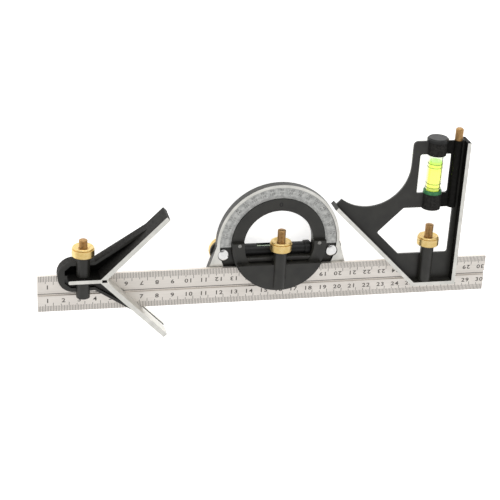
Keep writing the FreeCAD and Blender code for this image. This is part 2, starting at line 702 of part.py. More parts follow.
def make_locks():
    for side, name in ((-1, "left"), (1, "right")):
        x = s.pivot_along + side * lock_across()
        y = pivot_y - s.lock_drop
        stud_bore_radius = s.lock_stud_radius + s.running_gap
        washer_front = s.body_back + s.running_gap
        nut_front = washer_front + s.lock_washer_thickness
        stud = nut_front + s.lock_nut_height + s.lock_travel + s.lock_stud_end - s.ledge_front

        bolt = new_body("lock_bolt_" + name)
        turn(bolt, (0, -s.lock_head_height),
             (s.lock_head_radius * 0.5, -s.lock_head_height),
             (s.lock_head_radius * 0.85, -s.lock_head_height * 0.65),
             (s.lock_head_radius, 0), (s.lock_stud_radius, 0),
             (s.lock_stud_radius, stud - s.stud_chamfer),
             (s.lock_stud_radius - s.stud_chamfer, stud), (0, stud))
        place(bolt, x, y, -s.ledge_front, "-Z")

        washer = new_body("lock_washer_" + name)
        turn(washer, (stud_bore_radius, 0), (s.lock_washer_radius, 0),
             (s.lock_washer_radius, s.lock_washer_thickness),
             (stud_bore_radius, s.lock_washer_thickness))
        place(washer, x, y, -washer_front, "-Z")

        nut = new_body("lock_nut_" + name)
        knurled_nut(nut, stud_bore_radius, s.lock_nut_radius, s.lock_nut_height)
        place(nut, x, y, -nut_front, "-Z")


# The square head

def make_square_head():
    face = s.square_face
    bottom = rule_top - s.square_skirt
    top = bottom + s.square_height
    left = face - s.square_base
    tip_x, tip_y = left - s.square_leg, bottom + s.square_leg
    post = face - s.square_rim
    clamp = face - s.square_clamp_offset
    seat = rule_top + s.square_nut_seat
    frame_left = face - s.frame_width
    bay_y = top - s.bay_drop
    rim = s.square_rim * DIAGONAL
    frame = new_body("square_frame")

    # the web: 45 degree leg, vial frame and the round bay between them
    web_back = s.square_web_front - s.square_web
    add(frame, "XY", web_back, s.square_web_front, polygon(
        (left, bottom), (face, bottom), (face, top), (frame_left, top, s.frame_corner),
        (frame_left, bay_y), (tip_x + bay_y - tip_y, bay_y), (tip_x, tip_y)))
    cut(frame, "XY", -s.head_back, s.square_front,
        circle(frame_left - s.bay_radius, bay_y, s.bay_radius))

    # the wall behind the rule
    saddle_top = rule_top + s.square_saddle
    add(frame, "XY", -s.square_saddle_back, web_back, polygon(
        (left, bottom), (face, bottom), (face, saddle_top),
        (left + bottom - saddle_top, saddle_top)))

    # the two windows
    window_top = top - s.frame_top
    window_low = window_top - s.vial_window
    window_left = frame_left + s.frame_wall
    window_right = face - s.post_width
    cut(frame, "XY", -s.head_back, s.square_front, polygon(
        (window_left, window_low, s.window_corner), (window_right, window_low, s.window_corner),
        (window_right, window_top, s.window_corner), (window_left, window_top, s.window_corner)))
    low_top = window_low - s.socket_bar
    low_right = face - s.post_low_width
    sill = rule_top + s.sill
    leg_line = left + bottom + s.leg_strip / DIAGONAL
    nose_x = face - s.nose_offset
    nose_y = leg_line - nose_x
    cut(frame, "XY", -s.head_back, s.square_front, polygon(
        (nose_x, nose_y, s.window_corner), (leg_line - sill, sill, s.window_corner),
        (low_right, sill, s.window_corner), (low_right, low_top, s.window_corner),
        (nose_x + low_top - nose_y, low_top, s.window_corner)))

    # the flanges with the ground edges
    inner_low = bottom + s.square_rim
    inner_left = left + bottom + s.square_rim / DIAGONAL - inner_low
    add(frame, "XY", -s.head_back, s.square_front, polygon(
        (tip_x, tip_y), (left, bottom), (face, bottom), (face, top), (post, top),
        (post, inner_low), (inner_left, inner_low), (tip_x + rim, tip_y + rim)))

    # bosses and bores for the clamp bolt, the vial and the scriber
    clamp_boss(frame, clamp, seat)
    vial_boss = circle(clamp, s.vial_forward, s.vial_boss)
    add(frame, "XZ", window_top - s.vial_boss_drop, top, vial_boss)
    add(frame, "XZ", low_top - s.socket_drop, window_low, vial_boss)
    scriber = face - s.scriber_offset
    add(frame, "XZ", low_top, top, circle(scriber, s.scriber_forward, s.scriber_boss))
    rule_slot(frame, tip_x - 1, face + 1, bottom - 1)
    clamp_bore(frame, clamp, seat)
    vial_bottom = low_top - s.socket_drop + s.socket_floor
    cut(frame, "XZ", vial_bottom, top + 1,
        circle(clamp, s.vial_forward, s.vial_radius + s.running_gap))
    cut(frame, "XZ", top - s.scriber_length - s.running_gap, top + 1,
        circle(scriber, s.scriber_forward, s.scriber_radius + s.running_gap))
    make_clamp("square", clamp, seat, rule_top + s.square_stud_top)
    make_square_vial(clamp, vial_bottom, top)
    make_scriber(scriber, top)


def make_square_vial(x, bottom, top):
    """The acrylic vial, its liquid and the cap that closes the bore above it."""
    length = top - s.vial_head_space - bottom
    inside = s.vial_radius - s.vial_wall
    vial = new_body("square_vial")
    turn(vial, (0, 0), (s.vial_radius, 0), (s.vial_radius, length), (0, length),
         (0, length - s.vial_wall), (inside, length - s.vial_wall), (inside, s.vial_wall),
         (0, s.vial_wall))
    place(vial, x, bottom, s.vial_forward, "Y")
    fluid = new_body("square_fluid")
    turn(fluid, (0, s.vial_wall), (inside, s.vial_wall), (inside, length - s.vial_air),
         (0, length - s.vial_air))
    place(fluid, x, bottom, s.vial_forward, "Y")
    plug = new_body("square_vial_plug")
    plug_radius = s.vial_boss + s.plug_overlap
    turn(plug, (0, -s.plug_spigot), (s.vial_radius, -s.plug_spigot), (s.vial_radius, 0),
         (plug_radius, 0), (plug_radius, s.plug_height - s.cap_bevel),
         (plug_radius - s.cap_bevel, s.plug_height), (0, s.plug_height))
    place(plug, x, top, s.vial_forward, "Y")


def make_scriber(x, top):
    """The scriber pin and the brass head that draws it out."""
    pin = new_body("scriber_pin")
    point = s.scriber_length - s.scriber_point
    turn(pin, (0, -s.scriber_length), (s.scriber_radius, -point),
         (s.scriber_radius, s.scriber_grip), (0, s.scriber_grip))
    place(pin, x, top, s.scriber_forward, "Y")
    head = new_body("scriber_head")
    turn(head, (s.scriber_radius, 0), (s.scriber_head_radius, 0),
         (s.scriber_head_radius, s.scriber_head_height - s.cap_bevel),
         (s.scriber_head_radius - s.cap_bevel, s.scriber_head_height),
         (0, s.scriber_head_height), (0, s.scriber_grip), (s.scriber_radius, s.scriber_grip))
    place(head, x, top, s.scriber_forward, "Y")


def write_pieces():
    """Check every object, then write each piece to its own file."""
    doc.recompute()
    for item in doc.Objects:
        if "Invalid" in item.State or "Error" in item.State:
            raise RuntimeError("%s failed: %s" % (item.Label, item.State))
    os.makedirs("parts", exist_ok=True)
    pieces = [item for item in doc.Objects if item.TypeId in ("PartDesign::Body", "Part::Feature")]
    for piece in pieces:
        shape = piece.Shape
        if shape.isNull() or not shape.isValid() or len(shape.Solids) != 1:
            raise RuntimeError("%s is not one sound solid" % piece.Label)
        shape.exportStep(os.path.join("parts", piece.Label + ".step"))
        print("%-22s %9.1f mm3" % (piece.Label, shape.Volume))


make_rule()
make_centre_head()
make_protractor_body()
make_degree_scale()
make_turret()
make_level()
make_locks()
make_square_head()
write_pieces()
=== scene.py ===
# %% [markdown]
# # A combination square set in black enamel, ground edges and brass
#
# The set is a steel rule with three heads on it. Its castings, bolts, vials and nuts come from the
# CAD model, which is loaded as a fixed frame. This notebook gives them their looks: softened cast
# edges, turned and knurled brass, threads, graduations, vials with their liquid, and a finish for
# each surface. Lengths are in metres, and a value that ends in _MM is in millimetres.

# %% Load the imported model
import math

import bmesh
import bpy
import numpy as np
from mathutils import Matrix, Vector


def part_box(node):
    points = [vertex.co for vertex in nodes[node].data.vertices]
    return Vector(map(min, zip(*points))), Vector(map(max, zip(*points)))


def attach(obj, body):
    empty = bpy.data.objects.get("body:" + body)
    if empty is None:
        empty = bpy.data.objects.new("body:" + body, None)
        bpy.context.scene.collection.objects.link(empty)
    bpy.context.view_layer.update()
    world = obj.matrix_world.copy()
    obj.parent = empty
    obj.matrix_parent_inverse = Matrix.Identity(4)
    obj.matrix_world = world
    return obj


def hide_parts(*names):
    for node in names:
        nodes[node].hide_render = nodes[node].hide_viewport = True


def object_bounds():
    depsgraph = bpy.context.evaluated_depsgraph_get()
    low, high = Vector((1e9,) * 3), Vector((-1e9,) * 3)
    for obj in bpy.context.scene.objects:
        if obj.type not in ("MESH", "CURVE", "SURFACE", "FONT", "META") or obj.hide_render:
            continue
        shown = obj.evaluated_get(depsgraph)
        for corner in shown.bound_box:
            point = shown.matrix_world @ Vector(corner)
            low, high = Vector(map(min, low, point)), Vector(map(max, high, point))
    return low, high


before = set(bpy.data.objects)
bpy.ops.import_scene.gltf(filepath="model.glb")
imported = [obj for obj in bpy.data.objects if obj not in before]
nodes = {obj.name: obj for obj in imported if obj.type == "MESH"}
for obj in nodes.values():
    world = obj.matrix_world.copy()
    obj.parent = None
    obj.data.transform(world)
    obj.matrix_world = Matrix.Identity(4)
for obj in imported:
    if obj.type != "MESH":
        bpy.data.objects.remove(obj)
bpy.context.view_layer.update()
MM = 0.001

# %% [markdown]
# ## The camera
#
# A product shot of a long flat tool is taken with a long lens, so that both ends look the same
# size. The place, the turn and the lens were found by fitting the centimetre numbers and the ends
# of the rule to the photograph, which is 500 pixels on a side.

# %% Camera at the photograph's place
PHOTO_SIDE = 500
FOCAL_PIXELS = 1402.8
SENSOR_MM = 36.0
camera_data = bpy.data.cameras.new("photo_camera")
camera_data.sensor_width = SENSOR_MM
camera_data.lens = FOCAL_PIXELS / PHOTO_SIDE * SENSOR_MM
camera_data.clip_start = 0.05
camera = bpy.data.objects.new("photo_camera", camera_data)
camera.location = (-0.05739, 0.40401, 0.79969)
camera.rotation_euler = [math.radians(turn) for turn in (-25.4625, -12.2590, 3.0136)]
bpy.context.scene.collection.objects.link(camera)
bpy.context.scene.camera = camera
print("lens", round(camera_data.lens, 1), "mm")

# %% [markdown]
# ## Helpers for materials
#
# A finish is a small net of nodes. One function adds a node, sets it and links it, and another
# turns the hex code of a colour, as a paint program shows it, into the linear light that the
# renderer works with.

# %% Colours, nodes and patterns
def hex_colour(code):
    """Turn an sRGB hex code into linear red, green, blue and an alpha of 1."""
    parts = np.array([int(code[i:i + 2], 16) for i in (1, 3, 5)]) / 255
    linear = np.where(parts <= 0.04045, parts / 12.92, ((parts + 0.055) / 1.055) ** 2.4)
    return (*linear.tolist(), 1.0)


def add_node(material, kind, inputs=None, **settings):
    """Add a node; each input is a value, or the output socket that feeds it."""
    item = material.node_tree.nodes.new(kind)
    for name, value in settings.items():
        setattr(item, name, value)
    for name, value in (inputs or {}).items():
        if isinstance(value, bpy.types.NodeSocket):
            material.node_tree.links.new(value, item.inputs[name])
        else:
            item.inputs[name].default_value = value
    return item


def new_finish(name, **shader_inputs):
    """A material with one Principled shader, returned with that shader."""
    material = bpy.data.materials.new(name)
    material.use_nodes = True
    material.node_tree.nodes.clear()
    shader = add_node(material, "ShaderNodeBsdfPrincipled", shader_inputs)
    output = add_node(material, "ShaderNodeOutputMaterial")
    material.node_tree.links.new(shader.outputs["BSDF"], output.inputs["Surface"])
    return material, shader


def grain(material, size_mm, stretch=(1, 1, 1)):
    """Noise on the object's own coordinates with grains of this size, drawn out by stretch."""
    place = add_node(material, "ShaderNodeTexCoord")
    scale = [1000 / size_mm / part for part in stretch]
    mapping = add_node(material, "ShaderNodeMapping",
                       {"Vector": place.outputs["Object"], "Scale": scale})
    noise = add_node(material, "ShaderNodeTexNoise",
                     {"Vector": mapping.outputs["Vector"], "Scale": 1.0, "Detail": 4.0})
    return noise.outputs["Fac"]


def spread(material, value, low, high, start=0.3, end=0.7):
    """Map a pattern from its usual range to the range that a socket needs."""
    node = add_node(material, "ShaderNodeMapRange", {
        "Value": value, "From Min": start, "From Max": end, "To Min": low, "To Max": high})
    return node.outputs["Result"]


def two_tone(material, value, dark, light):
    """Blend two colours, given as hex codes, by a pattern from 0 to 1."""
    node = add_node(material, "ShaderNodeMix", {"Factor": value}, data_type="RGBA")
    node.inputs[6].default_value = hex_colour(dark)
    node.inputs[7].default_value = hex_colour(light)
    return node.outputs[2]


def feed(material, output, shader, *sockets):
    """Link an output to one or more sockets of a shader."""
    for socket in sockets:
        material.node_tree.links.new(output, shader.inputs[socket])


def bump(material, shader, height, depth_mm, strength):
    """Raise the surface by a pattern that is depth_mm high."""
    node = add_node(material, "ShaderNodeBump", {
        "Height": height, "Distance": depth_mm * MM, "Strength": strength})
    feed(material, node.outputs["Normal"], shader, "Normal")


def tint(material, shader, size_mm, dark, light, start=0.3, end=0.7):
    """Give the base colour two tones in soft patches of this size."""
    patches = spread(material, grain(material, size_mm), 0, 1, start, end)
    feed(material, two_tone(material, patches, dark, light), shader, "Base Color")


# %% [markdown]
# ## The steel of the rule
#
# Such rules are stainless strip, ground along their length and satin chromed so that they don't
# glare. The eye sees a warm light grey with fine streaks along the rule, and a broad soft gleam.
# The real grinding lines are about 0.02 mm apart, too fine to show, so they are drawn at 0.25 mm.

# %% Satin ground rule steel
satin_steel, shader = new_finish("satin_ground_stainless", Metallic=0.85)
streaks = grain(satin_steel, 0.25, stretch=(60, 1, 1))
clouds = grain(satin_steel, 9.0, stretch=(3, 1, 1))
tone = add_node(satin_steel, "ShaderNodeMath", {0: streaks, 1: clouds}, operation="ADD")
tone = spread(satin_steel, tone.outputs[0], 0.0, 1.0, 0.7, 1.3)
feed(satin_steel, two_tone(satin_steel, tone, "#d7d1ca", "#e9e3dc"), shader, "Base Color")
feed(satin_steel, spread(satin_steel, streaks, 0.36, 0.5), shader, "Roughness")
bump(satin_steel, shader, streaks, 0.01, 0.4)

# %% [markdown]
# ## Black enamel on zinc castings
#
# The heads are zinc castings with a baked black enamel. It is a little rough from the mould, so it
# shows a soft grey sheen where light falls on it. The mould's grain is about 0.5 mm, with slow
# waves of a few millimetres from the flow of the paint.

# %% Baked enamel
enamel, shader = new_finish("baked_black_enamel", IOR=1.5)
pebbles = grain(enamel, 0.5)
tint(enamel, shader, 7.0, "#1a1916", "#282722")
feed(enamel, spread(enamel, pebbles, 0.36, 0.5), shader, "Roughness")
bump(enamel, shader, pebbles, 0.02, 0.4)

# %% [markdown]
# ## Enamel copies with painted shade and a painted highlight
#
# Steep walls get a duller copy of the enamel, and the recesses a nearly black one: both stand for
# shade, painted into the finish. Small raised spots get a mottled light grey copy, a painted
# highlight.

# %% Duller enamel
# A duller copy of the enamel for steep walls, darker than the light alone makes them: painted shade.
wall_shade_enamel, shader = new_finish("dull_enamel_painted_shade_on_walls", Roughness=0.6, IOR=1.4)
shader.inputs["Specular IOR Level"].default_value = 0.15
tint(wall_shade_enamel, shader, 1.2, "#1d1c1b", "#2d2c2a", 0.38, 0.62)
bump(wall_shade_enamel, shader, grain(wall_shade_enamel, 0.8), 0.015, 0.4)

# A nearly black copy of the enamel for pockets and recesses: painted shade.
recess_shade_enamel, shader = new_finish("near_black_enamel_painted_shade_in_recesses", Roughness=0.55, IOR=1.4)
shader.inputs["Specular IOR Level"].default_value = 0.12
tint(recess_shade_enamel, shader, 2.0, "#0b0b0a", "#171614")

# A mottled light grey copy of the enamel for the ear pips: painted highlight.
painted_highlight_enamel, shader = new_finish("painted_highlight_enamel", Roughness=0.4, IOR=1.5)
tint(painted_highlight_enamel, shader, 0.8, "#6f6e6b", "#9a9995")

# %% [markdown]
# ## Ground working edges
#
# After painting, the edges that measure are ground bare. The bare zinc is a bright, slightly warm
# grey, with short scratches across the edge from the wheel, here about 0.3 mm apart.

# %% Ground zinc
ground_zinc, shader = new_finish("ground_zinc_edge", Metallic=0.85)
scratches = grain(ground_zinc, 0.3, stretch=(1, 1, 12))
tint(ground_zinc, shader, 5.0, "#cfcec8", "#e3e1db")
feed(ground_zinc, spread(ground_zinc, scratches, 0.3, 0.5), shader, "Roughness")
bump(ground_zinc, shader, scratches, 0.012, 0.4)

# %% [markdown]
# ## The degree plate
#
# The degree plate is etched aluminium, dull grey and slightly mottled, without any gleam.

# %% Etched aluminium
etched_plate, shader = new_finish("etched_aluminium_plate", Metallic=0.5, Roughness=0.5)
tint(etched_plate, shader, 2.2, "#a0a19f", "#c4c4c1", 0.35, 0.65)
bump(etched_plate, shader, grain(etched_plate, 0.3), 0.01, 0.3)

# %% [markdown]
# ## Brass, bronze, chrome and spring steel
#
# The nuts are turned brass with a thin lacquer, bright yellow with turning lines around them. The
# studs and the scriber's head are browner and duller, like bronze. The lock bolts are polished
# chrome, smooth as a mirror. The springs and the scriber's needle are bare steel, dark under a film
# of oil.

# %% Brass, bronze, chrome and steel
brass, shader = new_finish("lacquered_turned_brass", Metallic=1.0)
turning = grain(brass, 0.25, stretch=(8, 1, 8))
tint(brass, shader, 3.0, "#d8b974", "#e8cd90")
feed(brass, spread(brass, turning, 0.24, 0.42), shader, "Roughness")
bump(brass, shader, turning, 0.008, 0.3)

bronze, shader = new_finish("bronze_plated_stud", Metallic=0.9, Roughness=0.36)
tint(bronze, shader, 1.2, "#94734a", "#b59060")

chrome, shader = new_finish("polished_chrome", Metallic=1.0, Roughness=0.08)
tint(chrome, shader, 4.0, "#dcdcdb", "#efeeec")

spring_steel, shader = new_finish("oiled_spring_steel", Metallic=1.0, Roughness=0.3)
tint(spring_steel, shader, 1.0, "#77777a", "#94948f")

# %% [markdown]
# ## Plastic, rubber and ink
#
# The vial caps and the cross level's tube are moulded black plastic, smoother than the enamel. The
# seal at the vial's foot is green rubber. The rule's graduations are etched and filled with dark
# ink, and on the degree plate the ink is thinner and has faded to grey.

# %% Plastic and ink
plastic, shader = new_finish("moulded_black_plastic", Roughness=0.42, IOR=1.4)
tint(plastic, shader, 4.0, "#0b0b0c", "#131312")
bump(plastic, shader, grain(plastic, 0.6), 0.01, 0.25)

seal_rubber, shader = new_finish("moulded_green_rubber", Roughness=0.5, IOR=1.52)
tint(seal_rubber, shader, 1.5, "#1d5c33", "#357f4a")

ink_and_shadow, shader = new_finish("etched_dark_ink_also_painted_shadow", Roughness=0.7)
tint(ink_and_shadow, shader, 0.8, "#3b3733", "#57524c")

faded_ink, shader = new_finish("faded_grey_ink", Roughness=0.6)
tint(faded_ink, shader, 2.5, "#5f5e5b", "#7c7b78")

# %% [markdown]
# ## Acrylic and dyed liquid
#
# The vials are clear acrylic. The liquid in the upright vial is dyed yellow-green, and a part of its
# colour is given off as light, a painted glow. Its darkest stretch in the socket at the foot is
# painted shade, and it turns greener towards its surface. The cross level holds a paler liquid, with
# a painted glow too.

# %% Acrylic and liquids
SOCKET_RIM_MM = 60.0
LIQUID_TOP_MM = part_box("square_fluid")[1][1] / MM
SURFACE_BLEND_MM = 0.6


def height_share(material, low_mm, high_mm, low=0, high=1):
    """A value that goes from low to high between two heights along the object's Y."""
    place = add_node(material, "ShaderNodeTexCoord")
    place = add_node(material, "ShaderNodeSeparateXYZ", {"Vector": place.outputs["Object"]})
    return spread(material, place.outputs["Y"], low, high, low_mm * MM, high_mm * MM)


acrylic, shader = new_finish("clear_acrylic", Roughness=0.03, IOR=1.49)
shader.inputs["Transmission Weight"].default_value = 1.0
tint(acrylic, shader, 5.0, "#f2f7ee", "#fbfdf8")

tinted_acrylic, shader = new_finish("acrylic_round_the_liquid", Roughness=0.03, IOR=1.49)
shader.inputs["Transmission Weight"].default_value = 1.0
shade = height_share(tinted_acrylic, LIQUID_TOP_MM - SURFACE_BLEND_MM, LIQUID_TOP_MM, 1, 0)
feed(tinted_acrylic, two_tone(tinted_acrylic, shade, "#f6faf0", "#fbfdcc"), shader, "Base Color")

liquid, shader = new_finish("dyed_liquid_painted_shade_and_glow", Roughness=0.1, IOR=1.33)
shader.inputs["Transmission Weight"].default_value = 0.3
# The emission is a painted glow that keeps the liquid bright.
shader.inputs["Emission Strength"].default_value = 0.58
depth = height_share(liquid, SOCKET_RIM_MM, LIQUID_TOP_MM)
dye_and_painted_light = add_node(liquid, "ShaderNodeValToRGB", {"Fac": depth})
# The two darkest stops, in the socket at the foot, are painted shade.
stops = ((0.0, "#1f5a35"), (0.07, "#2f7a45"), (0.12, "#dcea72"), (0.3, "#eff6a2"),
         (0.7, "#f2f89e"), (0.88, "#d8f48a"), (1.0, "#b7e88e"))
ramp = dye_and_painted_light.color_ramp
for index, (stop, colour) in enumerate(stops):
    item = ramp.elements[index] if index < 2 else ramp.elements.new(stop)
    item.position = stop
    item.color = hex_colour(colour)
feed(liquid, dye_and_painted_light.outputs["Color"], shader, "Base Color", "Emission Color")

pale_liquid, shader = new_finish("pale_liquid_painted_glow", Roughness=0.1, IOR=1.33)
# The emission is a painted glow, so the liquid shows light grey-green in the window.
shader.inputs["Emission Strength"].default_value = 0.35
dye_and_painted_light = two_tone(pale_liquid, spread(pale_liquid, grain(pale_liquid, 3.0), 0, 1), "#b4c4b0", "#e0e9da")
feed(pale_liquid, dye_and_painted_light, shader, "Base Color", "Emission Color")

# %% [markdown]
# ## Helpers for shapes
#
# Most new pieces are turned on a lathe: a profile of radius and height, carried round an axis.
# The surface is worked out as one array, and joined to quads. Poles come from a radius of 0, where
# the doubled points are merged afterwards.

# %% Meshes from arrays
MERGE_MM = 0.0001
SHARP_DEGREES = 32


def make_piece(name, points, faces, finish, body, stands_for=()):
    """Build an object from arrays, close it, shade it and let it ride on its body."""
    mesh = bpy.data.meshes.new(name)
    mesh.from_pydata(np.asarray(points, float).tolist(), [], [list(face) for face in faces])
    mesh.materials.append(finish)
    shell = bmesh.new()
    shell.from_mesh(mesh)
    bmesh.ops.remove_doubles(shell, verts=shell.verts, dist=MERGE_MM * MM)
    bmesh.ops.recalc_face_normals(shell, faces=shell.faces)
    shell.to_mesh(mesh)
    shell.free()
    mesh.shade_smooth()
    mesh.set_sharp_from_angle(angle=math.radians(SHARP_DEGREES))
    piece = bpy.data.objects.new(name, mesh)
    bpy.context.scene.collection.objects.link(piece)
    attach(piece, body)
    if stands_for:
        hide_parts(*stands_for)


def grid_faces(rows, columns, wrap_rows=True):
    """Quads between the neighbours of a grid of points.

    The last column joins the first, and the last row joins the first unless wrap_rows is False.
    """
    row = np.arange(rows if wrap_rows else rows - 1)[:, None]
    column = np.arange(columns)[None, :]
    next_row, next_column = (row + 1) % rows, (column + 1) % columns
    corners = (row * columns + column, row * columns + next_column,
               next_row * columns + next_column, next_row * columns + column)
    return np.stack([np.broadcast_to(c, corners[0].shape) for c in corners], -1).reshape(-1, 4)


def rounded(corners, radii, steps):
    """Round each corner of a profile with an arc of quadratic form between its two sides."""
    corners = np.asarray(corners, float)
    share = np.linspace(0, 1, steps + 1)[:, None]
    path = []
    for before, corner, after, radius in zip(
            np.roll(corners, 1, 0), corners, np.roll(corners, -1, 0), radii):
        if radius == 0:
            path.append(corner[None])
            continue
        start = corner + (before - corner) / np.linalg.norm(before - corner) * radius
        end = corner + (after - corner) / np.linalg.norm(after - corner) * radius
        path.append((1 - share) ** 2 * start + 2 * share * (1 - share) * corner + share ** 2 * end)
    return np.concatenate(path)


AXES = {
    "Y": np.array([[1, 0, 0], [0, 0, 1], [0, -1, 0]], float),
    "Z": np.eye(3),
    "-Z": np.array([[1, 0, 0], [0, -1, 0], [0, 0, -1]], float),
}


def turned(profile_mm, foot, axis, columns, swell=None):
    """Carry a closed profile of (radius, height) round an axis that starts at foot.

    Each point is (r cos t, r sin t, h), and swell may add to r as a function of t and h.
    """
    radius, height = np.asarray(profile_mm, float).T[:, :, None] * MM
    turn = np.linspace(0, 2 * np.pi, columns, endpoint=False)[None, :]
    if swell is not None:
        radius = radius + swell(radius, turn, height)
    points = np.stack(np.broadcast_arrays(
        radius * np.cos(turn), radius * np.sin(turn), height), -1)
    points = points @ AXES[axis].T + np.asarray(foot)
    return points.reshape(-1, 3), grid_faces(len(profile_mm), columns)


def middle_of(node):
    """The middle of a CAD node's box."""
    low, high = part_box(node)
    return np.array(low + high) / 2


# %% [markdown]
# ## The castings
#
# A casting has no knife edges: the mould and the paint round them. The CAD solids are sharp, so a
# copy of each is merged into clean faces and gets a small bevel on every edge. Its faces are then
# sorted by where they lie and which way they look, and each kind gets its own finish.

# %% Softened castings
CAD_MERGE_MM = 0.002
FLAT_DEGREES, CREASE_DEGREES, BEVEL_DEGREES = 0.6, 30, 35


def soften(node, name, body, width_mm, finishes, sort):
    """Copy a CAD solid, merge its triangles and round its edges with a fine bevel.

    The function sort gets every face's middle in mm and its normal, and tells which of the finishes
    each face has.
    """
    shell = bmesh.new()
    shell.from_mesh(nodes[node].data)
    bmesh.ops.remove_doubles(shell, verts=shell.verts, dist=CAD_MERGE_MM * MM)
    bmesh.ops.dissolve_limit(
        shell, angle_limit=math.radians(FLAT_DEGREES), verts=shell.verts, edges=shell.edges)
    mesh = bpy.data.meshes.new(name)
    shell.to_mesh(mesh)
    shell.free()
    count = len(mesh.polygons)
    centre, normal = np.zeros(count * 3), np.zeros(count * 3)
    mesh.polygons.foreach_get("center", centre)
    mesh.polygons.foreach_get("normal", normal)
    kinds = sort(centre.reshape(-1, 3) / MM, normal.reshape(-1, 3)).astype(np.int32)
    mesh.materials.clear()
    for finish in finishes:
        mesh.materials.append(finish)
    mesh.polygons.foreach_set("material_index", kinds)
    mesh.shade_smooth()
    mesh.set_sharp_from_angle(angle=math.radians(CREASE_DEGREES))
    piece = bpy.data.objects.new(name, mesh)
    bpy.context.scene.collection.objects.link(piece)
    soft = piece.modifiers.new("cast_edges", "BEVEL")
    soft.width = width_mm * MM
    soft.segments = 2
    soft.limit_method = "ANGLE"
    soft.angle_limit = math.radians(BEVEL_DEGREES)
    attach(piece, body)
    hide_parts(node)
    print(name, count, "faces, by finish:", np.bincount(kinds).tolist())


# %% [markdown]
# ## Which faces are ground, and which carry painted shade
#
# Each head has its own faces that were ground after painting, and its own pockets and walls that
# get darker enamel as painted shade. They are told apart by the planes of the CAD model, in
# millimetres.

# %% Sorting the faces
# Recessed faces and shaded walls get darker copies of the enamel: painted shade.
PAINTED, GROUND, RECESSED, SHADED_WALL = 0, 1, 2, 3
STRAIGHT = 0.99
DIAGONAL = math.sqrt(0.5)
APEX_X_MM, APEX_Y_MM = 42.0, 12.5
CENTRE_BOLT_X_MM = 28.5
ARM_FRONT_MM = 12.4
POCKET_FLOOR_MM = -1.5
ARCH_FRONT_MM = -1.6
SQUARE_BOLT_X_MM = 256.0
SQUARE_FACE_X_MM, SQUARE_FOOT_Y_MM = 276.8, -4.1
SQUARE_FRONT_MM, SQUARE_BACK_MM = 8.1, -4.3
SLOPE_SUM_MM = 242.7
UPRIGHT_FOOT_MM = 45.0
CHANNEL_LEFT_MM, CHANNEL_RIGHT_MM = 262.0, 274.4
CHANNEL_FLOOR_MM, WEB_FRONT_MM = -0.9, 2.4
BOSS_RADIUS_MM = 6.2
SEAT_LOW_MM, SEAT_HIGH_MM, SEAT_BACK_MM = 12.0, 25.4, -4.0


def faces_front(normal):
    """Which faces look straight to the front."""
    return normal[:, 2] > STRAIGHT


def sorted_out(ground, recess, shaded_walls=False):
    """The index of each face's finish; ground wins over recessed, and recessed over shaded walls."""
    return np.where(ground, GROUND, np.where(recess, RECESSED, np.where(shaded_walls, SHADED_WALL, PAINTED)))


def centre_kinds(place, normal):
    """The V's inner walls, the front edges of its arms and the stem behind its corner are ground."""
    arms = faces_front(normal) & (place[:, 2] > ARM_FRONT_MM - 0.1)
    inside = (normal[:, 0] > 0.69) & (np.abs(np.abs(normal[:, 1]) - normal[:, 0]) < 0.02)
    across = np.abs(place[:, 1] - APEX_Y_MM)
    v_walls = inside & (np.abs(place[:, 0] - APEX_X_MM - across) < 0.3)
    floors = faces_front(normal) & (np.abs(place[:, 2] - POCKET_FLOOR_MM) < 0.1)
    walls = np.abs(normal[:, 2]) < 0.5
    walls &= (np.abs(normal[:, 1]) > 0.05) | (np.abs(place[:, 0] - CENTRE_BOLT_X_MM) > 5)
    inward = walls & (normal[:, 1] * np.sign(place[:, 1] - APEX_Y_MM) < -0.05)
    stem = walls & (across < 1.3)
    # Pocket floors, inward walls and the stem's walls take the near-black enamel, and the other
    # walls the duller one: both painted shade.
    return sorted_out(arms | v_walls, floors | inward | stem, walls)


def protractor_kinds(place, normal):
    """Only the foremost face of the arch and of its feet is ground."""
    seats = (place[:, 1] > SEAT_LOW_MM) & (place[:, 1] < SEAT_HIGH_MM)
    seats &= place[:, 2] > SEAT_BACK_MM
    # The seats round the lock bolts take the near-black enamel: painted shade.
    return sorted_out(faces_front(normal) & (place[:, 2] > ARCH_FRONT_MM - 0.1), seats)


def square_kinds(place, normal):
    """The 90 and 45 degree faces, the short side and the edges round them are ground."""
    edges = np.abs(normal[:, 2]) > STRAIGHT
    edges &= (np.abs(place[:, 2] - SQUARE_FRONT_MM) < 0.1) | (place[:, 2] < SQUARE_BACK_MM + 0.1)
    edges &= np.abs(place[:, 0] - SQUARE_BOLT_X_MM) > 1.5
    upright = (normal[:, 0] > STRAIGHT) & (place[:, 0] > SQUARE_FACE_X_MM - 0.1)
    short = (normal[:, 1] < -STRAIGHT) & (place[:, 1] < SQUARE_FOOT_Y_MM + 0.1)
    slope = np.all(np.abs(normal[:, :2] + DIAGONAL) < 0.01, axis=1)
    slope &= place[:, 0] + place[:, 1] < SLOPE_SUM_MM + 0.5
    high_up = place[:, 1] > UPRIGHT_FOOT_MM
    channel = (place[:, 0] > CHANNEL_LEFT_MM) & (place[:, 0] < CHANNEL_RIGHT_MM)
    channel &= (place[:, 2] > CHANNEL_FLOOR_MM - 0.1) & high_up
    bosses = np.abs(place[:, 0] - SQUARE_BOLT_X_MM) < BOSS_RADIUS_MM + 0.1
    bosses &= (place[:, 2] > WEB_FRONT_MM + 0.1) & high_up
    # The channel round the upright takes the near-black enamel and the bosses the duller one:
    # painted shade.
    return sorted_out(edges | upright | short | slope, channel, bosses)


def turret_kinds(place, normal):
    """The turret is painted all over."""
    return np.full(len(place), PAINTED)


